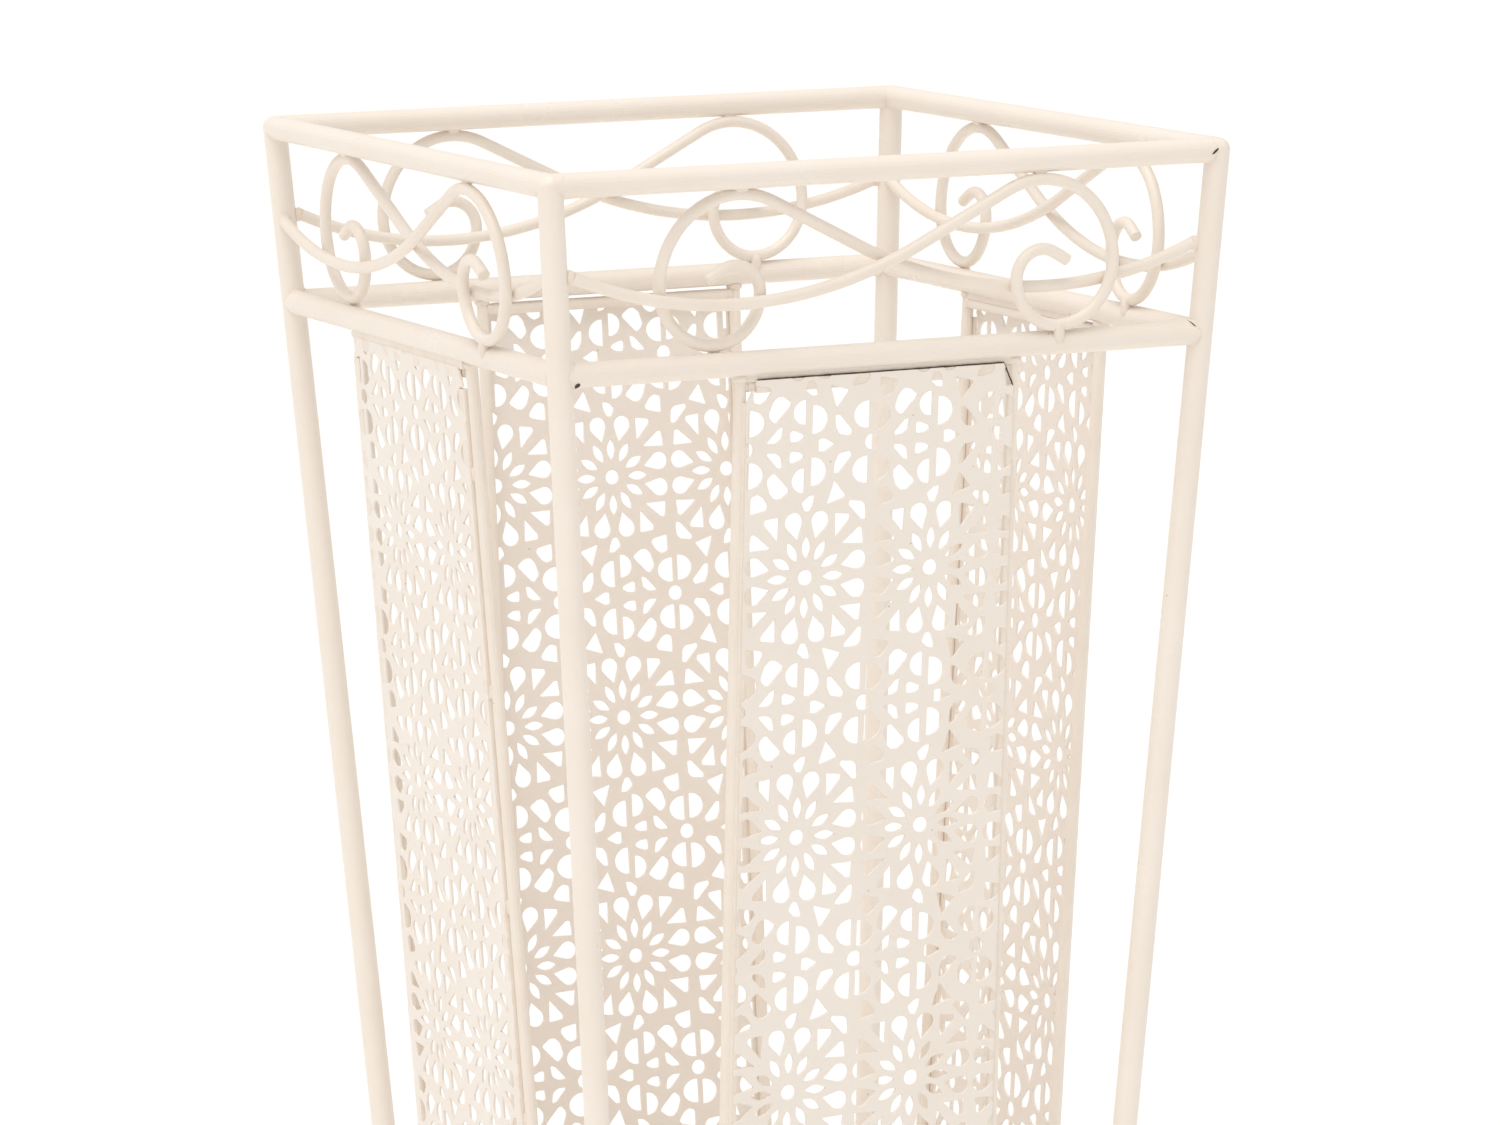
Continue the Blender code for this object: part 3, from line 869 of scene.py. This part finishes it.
# Column and row of a round hole, in millimetres, and lean of the pattern on each side.
PATTERN = {"front": (-2.7, -27.0, 0.0125), "right": (-7.3, -25.2, 0.0175),
           "back": (-20.9, -26.0, 0.010), "left": (3.6, -24.4, 0.0175)}
for side in SIDES:
    outline = sheet_outline(PANELS[side][1])
    holes = pattern_on(outline, *PATTERN[side])
    points, faces = sheet_solid(*pierced_triangles(outline, holes), panel_axes(side))
    new_piece("pierced_sheet_" + side, points, faces, sheet_coat, "sheet_paint",
              stands_for=["panel_sheet_" + side], sharp_degrees=30)
    print(side, "sheet:", len(holes), "holes,", len(faces), "faces")

# %% [markdown]
# ## Panel welds, filled seams and painted shade in crevices
# Each panel hangs on two uprights of 4 mm rod. Their ends are welded to the rings, the cross rods are
# welded to the uprights, and the sheet is tacked along its edges. Along the left edge the powder has
# filled the step between sheet and rod, which is drawn as a thin bead that runs down the seam.
#
# The slot above the front sheet and a few pinholes at the joints are dark with shade. That shade is
# painted on with a dark material that looks like hot-rolled steel with its brown-black oxide, partly
# metallic and rough.

# %% Painted shade: dark steel
FLAKE_MM, FLAKE_HEIGHT_MM = 1.5, 0.05
painted_shade_coat, tree, shader, place = start_material("mill_scale_on_steel", Metallic=0.6, Roughness=0.6)
flakes = add_noise(tree, place, FLAKE_MM, Detail=4.0)
# Painted shade: two dark browns, mixed by noise, colour the shade in the front slot and the pinholes.
mix_colours(tree, shader, "#2A211D", "#6E5848", flakes)
add_bump(tree, shader, flakes, 0.6, FLAKE_HEIGHT_MM)
print("made", painted_shade_coat.name)

# %% Welds and seams of the panels
SHEET_INSET = 0.001          # sheet's side edge inside the upright's axis
CROSS_ROD_DROP = 0.001 + ROD_RADIUS
TACKS_PER_EDGE = 6
SEAM_STEPS = 110
# Half sizes along u, v and n in millimetres: at a rod's end, at a cross rod, on the sheet's edge.
END_WELD, CROSS_WELD, TACK_WELD = (2.5, 1.3, 2.6), (1.5, 1.9, 1.9), (0.9, 2.4, 0.7)


def panel_welds(side):
    pile = ([], [])
    axes, half = panel_axes(side), PANELS[side][1]
    for sign in (-1, 1):
        upright = sign * (half + SHEET_INSET)
        for end, inwards in ((PANEL_TOP, -1), (PANEL_BOTTOM, 1)):
            add_to(pile, nugget(axes, (upright, end + inwards * 0.0004, 0), END_WELD))
            cross = end + inwards * CROSS_ROD_DROP
            add_to(pile, nugget(axes, (upright - sign * 0.0023, cross, -0.0004), CROSS_WELD))
        for i in range(TACKS_PER_EDGE):
            v = PANEL_TOP + (PANEL_BOTTOM - PANEL_TOP) * (i + 0.5) / TACKS_PER_EDGE
            add_to(pile, nugget(axes, (sign * (half + 0.0003), v, 0.0018), TACK_WELD, 0.2))
    return pile


def filled_seam(side):
    """A thin bead of powder down the left edge of the sheet, a little uneven."""
    axes, half = panel_axes(side), PANELS[side][1]
    path, radii = [], []
    for i in range(SEAM_STEPS + 1):
        v = PANEL_TOP - 0.008 + (PANEL_BOTTOM - PANEL_TOP + 0.016) * i / SEAM_STEPS
        spot = axes @ Vector((-half - 0.0002, v, 0.00195))
        path.append(spot)
        radii.append((0.86 + 0.10 * noise.noise(spot * 160.0)) * MM)
    return sweep(path, radii, outwards_of(axes), sides=12)


for side in SIDES:
    new_piece("weld_nuggets_panel_" + side, *panel_welds(side), weld_coat, "wire_paint", sharp_degrees=180)
    new_piece("filled_seam_" + side, *filled_seam(side), weld_coat, "sheet_paint", sharp_degrees=40)
print("welds and seams on", len(SIDES), "panels")

# %% [markdown]
# Where a hole lies over a rod, molten powder has closed the narrow space behind it, so the hole is
# only a shallow dent. A strip of paint behind each edge of the sheet does that: its face lies a little
# below the sheet's own. The left sheet got the most powder, so its dents hardly show.

# %% Powder behind the sheet's edges
def strip(axes, low, high, depths):
    """A thin flat bar between two corners (u, v), from one depth to another."""
    corners = [Vector((u, v, n)) for n in depths
               for u, v in ((low[0], low[1]), (high[0], low[1]), (high[0], high[1]), (low[0], high[1]))]
    faces = [(3, 2, 1, 0), (4, 5, 6, 7)] + [(k, (k + 1) % 4, (k + 1) % 4 + 4, k + 4) for k in range(4)]
    return [axes @ corner for corner in corners], faces


FILL_WIDTH = dict.fromkeys(SIDES, 0.0013) | {"left": 0.0043}         # at the uprights
FILL_HEIGHT = 0.0040         # at the cross rods
FILL_BACK = 0.0015           # how far out its back lies
FILL_SUNK = dict.fromkeys(SIDES, 0.00035) | {"left": 0.00012}
FILL_MARGIN = 0.0001         # keeps it inside the sheet's edge


def powder_fill(side):
    pile = ([], [])
    axes, half = panel_axes(side), PANELS[side][1]
    across, along_edge = (cut * MM for cut in CORNER_CUT)
    depths = (FILL_BACK, SHEET_GAP + SHEET_THICKNESS - FILL_SUNK[side])
    for sign in (-1, 1):
        inner, outer = sorted((sign * (half - FILL_WIDTH[side]), sign * (half - FILL_MARGIN)))
        add_to(pile, strip(axes, (inner, SHEET_BOTTOM + along_edge), (outer, SHEET_TOP - along_edge), depths))
    for low, high in ((SHEET_TOP - FILL_HEIGHT, SHEET_TOP - FILL_MARGIN),
                      (SHEET_BOTTOM + FILL_MARGIN, SHEET_BOTTOM + FILL_HEIGHT)):
        add_to(pile, strip(axes, (across - half, low), (half - across, high), depths))
    return pile


for side in SIDES:
    new_piece("powder_fill_" + side, *powder_fill(side), weld_coat, "sheet_paint")
print("powder fills behind", len(SIDES), "sheets")

# %% [markdown]
# Between a sheet's top edge and the bar above it is a slot about a millimetre high. On three sides
# paint has closed it, or most of it, which is a plain strip between bar and sheet. On the front sheet
# the open slot is dark with shade along the sheet's top edge and round its right corner. That shade is
# painted as a thin dark wire in the slot, with a little wobble.

# %% Painted shade in the slot above the front sheet, and the closed slots
SLOT_DEPTH = 0.0026
SLOT_STEP = 0.0012
SLOT_RADIUS_MM, SLOT_UNEVEN_MM = 0.25, 0.10
SLOT_WOBBLE_MM, SLOT_WOBBLES_PER_M = 0.2, 500.0


def painted_shade_slot():
    """Painted shade: a dark line along the sheet's top edge and round its right corner."""
    axes, half, top = panel_axes("front"), PANELS["front"][1], SHEET_TOP
    across, along_edge = (cut * MM for cut in CORNER_CUT)
    corners = [(across - half, top - 0.0008), (across - half + 0.0006, top + 0.0001), (-0.3 * half, top + 0.0001),
               (half - across, top + 0.0001), (half - across / 2, top - along_edge / 2),
               (half - 0.0002, top - along_edge), (half, top - 0.0095)]
    path, radii = [], []
    for (u0, v0), (u1, v1) in zip(corners, corners[1:]):
        steps = max(2, math.ceil(math.hypot(u1 - u0, v1 - v0) / SLOT_STEP))
        for k in range(steps):
            spot = Vector((u0 + (u1 - u0) * k / steps, v0 + (v1 - v0) * k / steps, SLOT_DEPTH))
            wobble = noise.noise(spot * SLOT_WOBBLES_PER_M)
            path.append(axes @ spot + axes.to_3x3() @ Vector((SLOT_WOBBLE_MM * wobble * MM, 0, 0)))
            radii.append((SLOT_RADIUS_MM + SLOT_UNEVEN_MM * wobble) * MM)
    return sweep(path, radii, outwards_of(axes), sides=8)


# Painted shade: the slot's shade is drawn as a dark wire in the painted shade coat.
new_piece("bare_slot_front", *painted_shade_slot(), painted_shade_coat, "sheet_paint", sharp_degrees=60)
# Where each closing strip starts along u, and its two depths. It ends at the sheet's right edge.
CLOSED_SLOTS = {"front": (-PANELS["front"][1], (0.0009, 0.0021)), "right": (-0.028, (-0.0017, 0.0018)),
                "left": (-PANELS["left"][1], (0.0009, 0.0028))}
for side, (first, depths) in CLOSED_SLOTS.items():
    closing = strip(panel_axes(side), (first, PANEL_TOP - 0.0016), (PANELS[side][1], PANEL_TOP + 0.0012), depths)
    new_piece("slot_backing_" + side, *closing, weld_coat, "sheet_paint")
print("one slot of painted shade, and", len(CLOSED_SLOTS), "slots closed by paint")

# %% [markdown]
# A pinhole is a narrow pit at a weld, dark with shade. Each one is painted shade: a thin dark lens
# that follows the bar's surface and stands 0.2 mm above it, since the bars' own meshes stay whole.
# That is too low to see from the side.

# %% Painted shade in pinholes at the joints
PINHOLE_POINTS = 16
PINHOLE_LAYERS = (-0.0003, 0.0002)       # from the bar's surface
# Corner, ring, side, distance from the leg's axis along the bar, height over the bar's axis, turn in
# degrees, half length and half width in millimetres.
PINHOLES = (("front_right", "top", "front", 0.0030, 0.0002, 40, 1.45, 0.32),
            ("front_left", "second", "front", 0.0046, -0.0028, 60, 1.05, 0.80),
            ("back_right", "top", "back", 0.0022, 0.0008, 85, 1.3, 0.30),
            ("front_right", "second", "front", 0.0042, 0.0033, -48, 0.95, 0.17))


def pinhole(corner, ring, side, along_bar, up, turn_degrees, half_length_mm, half_width_mm):
    """A narrow lens of painted shade on a bar: on its inner face at the back of the stand, else on its outer face.
    """
    height = RINGS[ring]["height"]
    axes = side_frame(side, height)
    reach = half_width(height) - along_bar
    leg_side = side_turn(side).inverted() @ Vector((*corner_signs(corner), 0))
    face = -1 if side == "back" else 1
    turn = math.radians(turn_degrees)
    points, count = [], PINHOLE_POINTS
    for layer in PINHOLE_LAYERS:
        for k in range(count):
            angle = math.tau * k / count
            long_way, short_way = half_length_mm * math.cos(angle) * MM, half_width_mm * math.sin(angle) * MM
            u = math.copysign(reach, leg_side.x) + long_way * math.cos(turn) - short_way * math.sin(turn)
            v = up + long_way * math.sin(turn) + short_way * math.cos(turn)
            lift = math.sqrt(max(BAR_RADIUS ** 2 - v ** 2, 0)) + layer
            points.append(axes @ Vector((u, v, face * lift)))
    faces = [(k, (k + 1) % count, (k + 1) % count + count, k + count) for k in range(count)]
    faces += [tuple(range(count))[::-1], tuple(range(count, 2 * count))]
    return points, faces if face > 0 else [f[::-1] for f in faces]


pile = ([], [])
for numbers in PINHOLES:
    add_to(pile, pinhole(*numbers))
# Painted shade: the pits' shade is drawn as dark lenses in the painted shade coat.
new_piece("painted_shade_pinholes", *pile, painted_shade_coat, "bar_paint", sharp_degrees=30)
print(len(PINHOLES), "pinholes")

# %% [markdown]
# ## Floor and light
# A pale, matt paper floor runs far behind the stand. The light is a plain studio: a white surround,
# brighter on the left and behind than on the right and in front, and one very wide softbox overhead
# that lights the tops of the bars. The cream surfaces light each other, which makes the inside of the stand warmer.

# %% Floor
FLOOR_REACH = 14.0
FIBRE_MM = 4
floor_mesh = bpy.data.meshes.new("paper_floor")
floor_corners = [(x * FLOOR_REACH, y * FLOOR_REACH, 0) for x, y in ((-1, -1), (1, -1), (1, 1), (-1, 1))]
floor_mesh.from_pydata(floor_corners, [], [(0, 1, 2, 3)])
floor = bpy.data.objects.new("paper_floor", floor_mesh)
bpy.context.scene.collection.objects.link(floor)
paper, tree, shader, place = start_material("matt_paper", Roughness=0.95, Specular_IOR_Level=0.1)
mix_colours(tree, shader, "#F7F6F4", "#FBFBFA", add_noise(tree, place, FIBRE_MM, Detail=3.0))
floor_mesh.materials.append(paper)
print("floor", 2 * FLOOR_REACH, "m wide")

# %% Lights
SURROUND_LEFT_BACK, SURROUND_RIGHT_FRONT = 0.79, 0.56
SOFTBOX_ENERGY, SOFTBOX_WIDTH = 1.55, math.radians(50)
SOFTBOX_DIRECTION = (0.22, 0.20, -0.955)
world = bpy.data.worlds.new("studio")
world.use_nodes = True
bpy.context.scene.world = world
surround = world.node_tree.nodes["Background"]
surround.inputs["Color"].default_value = linear("#FFFDFB")
sky = world.node_tree
direction = add_node(sky, "ShaderNodeTexCoord").outputs["Generated"]
right_and_front = add_node(sky, "ShaderNodeVectorMath", {"operation": "DOT_PRODUCT"}, {1: (0.80, -0.60, 0.0)},
                           {0: direction})
brightness = add_node(sky, "ShaderNodeMapRange",
                      values={"From Min": -1.0, "From Max": 1.0,
                              "To Min": SURROUND_LEFT_BACK, "To Max": SURROUND_RIGHT_FRONT},
                      links={"Value": right_and_front.outputs["Value"]})
sky.links.new(brightness.outputs["Result"], surround.inputs["Strength"])

overhead = bpy.data.lights.new("overhead_softbox", "SUN")
overhead.energy, overhead.angle, overhead.color = SOFTBOX_ENERGY, SOFTBOX_WIDTH, linear("#FFFDF8")[:3]
lamp = bpy.data.objects.new("overhead_softbox", overhead)
lamp.rotation_mode = "QUATERNION"
lamp.rotation_quaternion = Vector(SOFTBOX_DIRECTION).to_track_quat("-Z", "Y")
bpy.context.scene.collection.objects.link(lamp)
bpy.context.scene.view_settings.view_transform = "Standard"
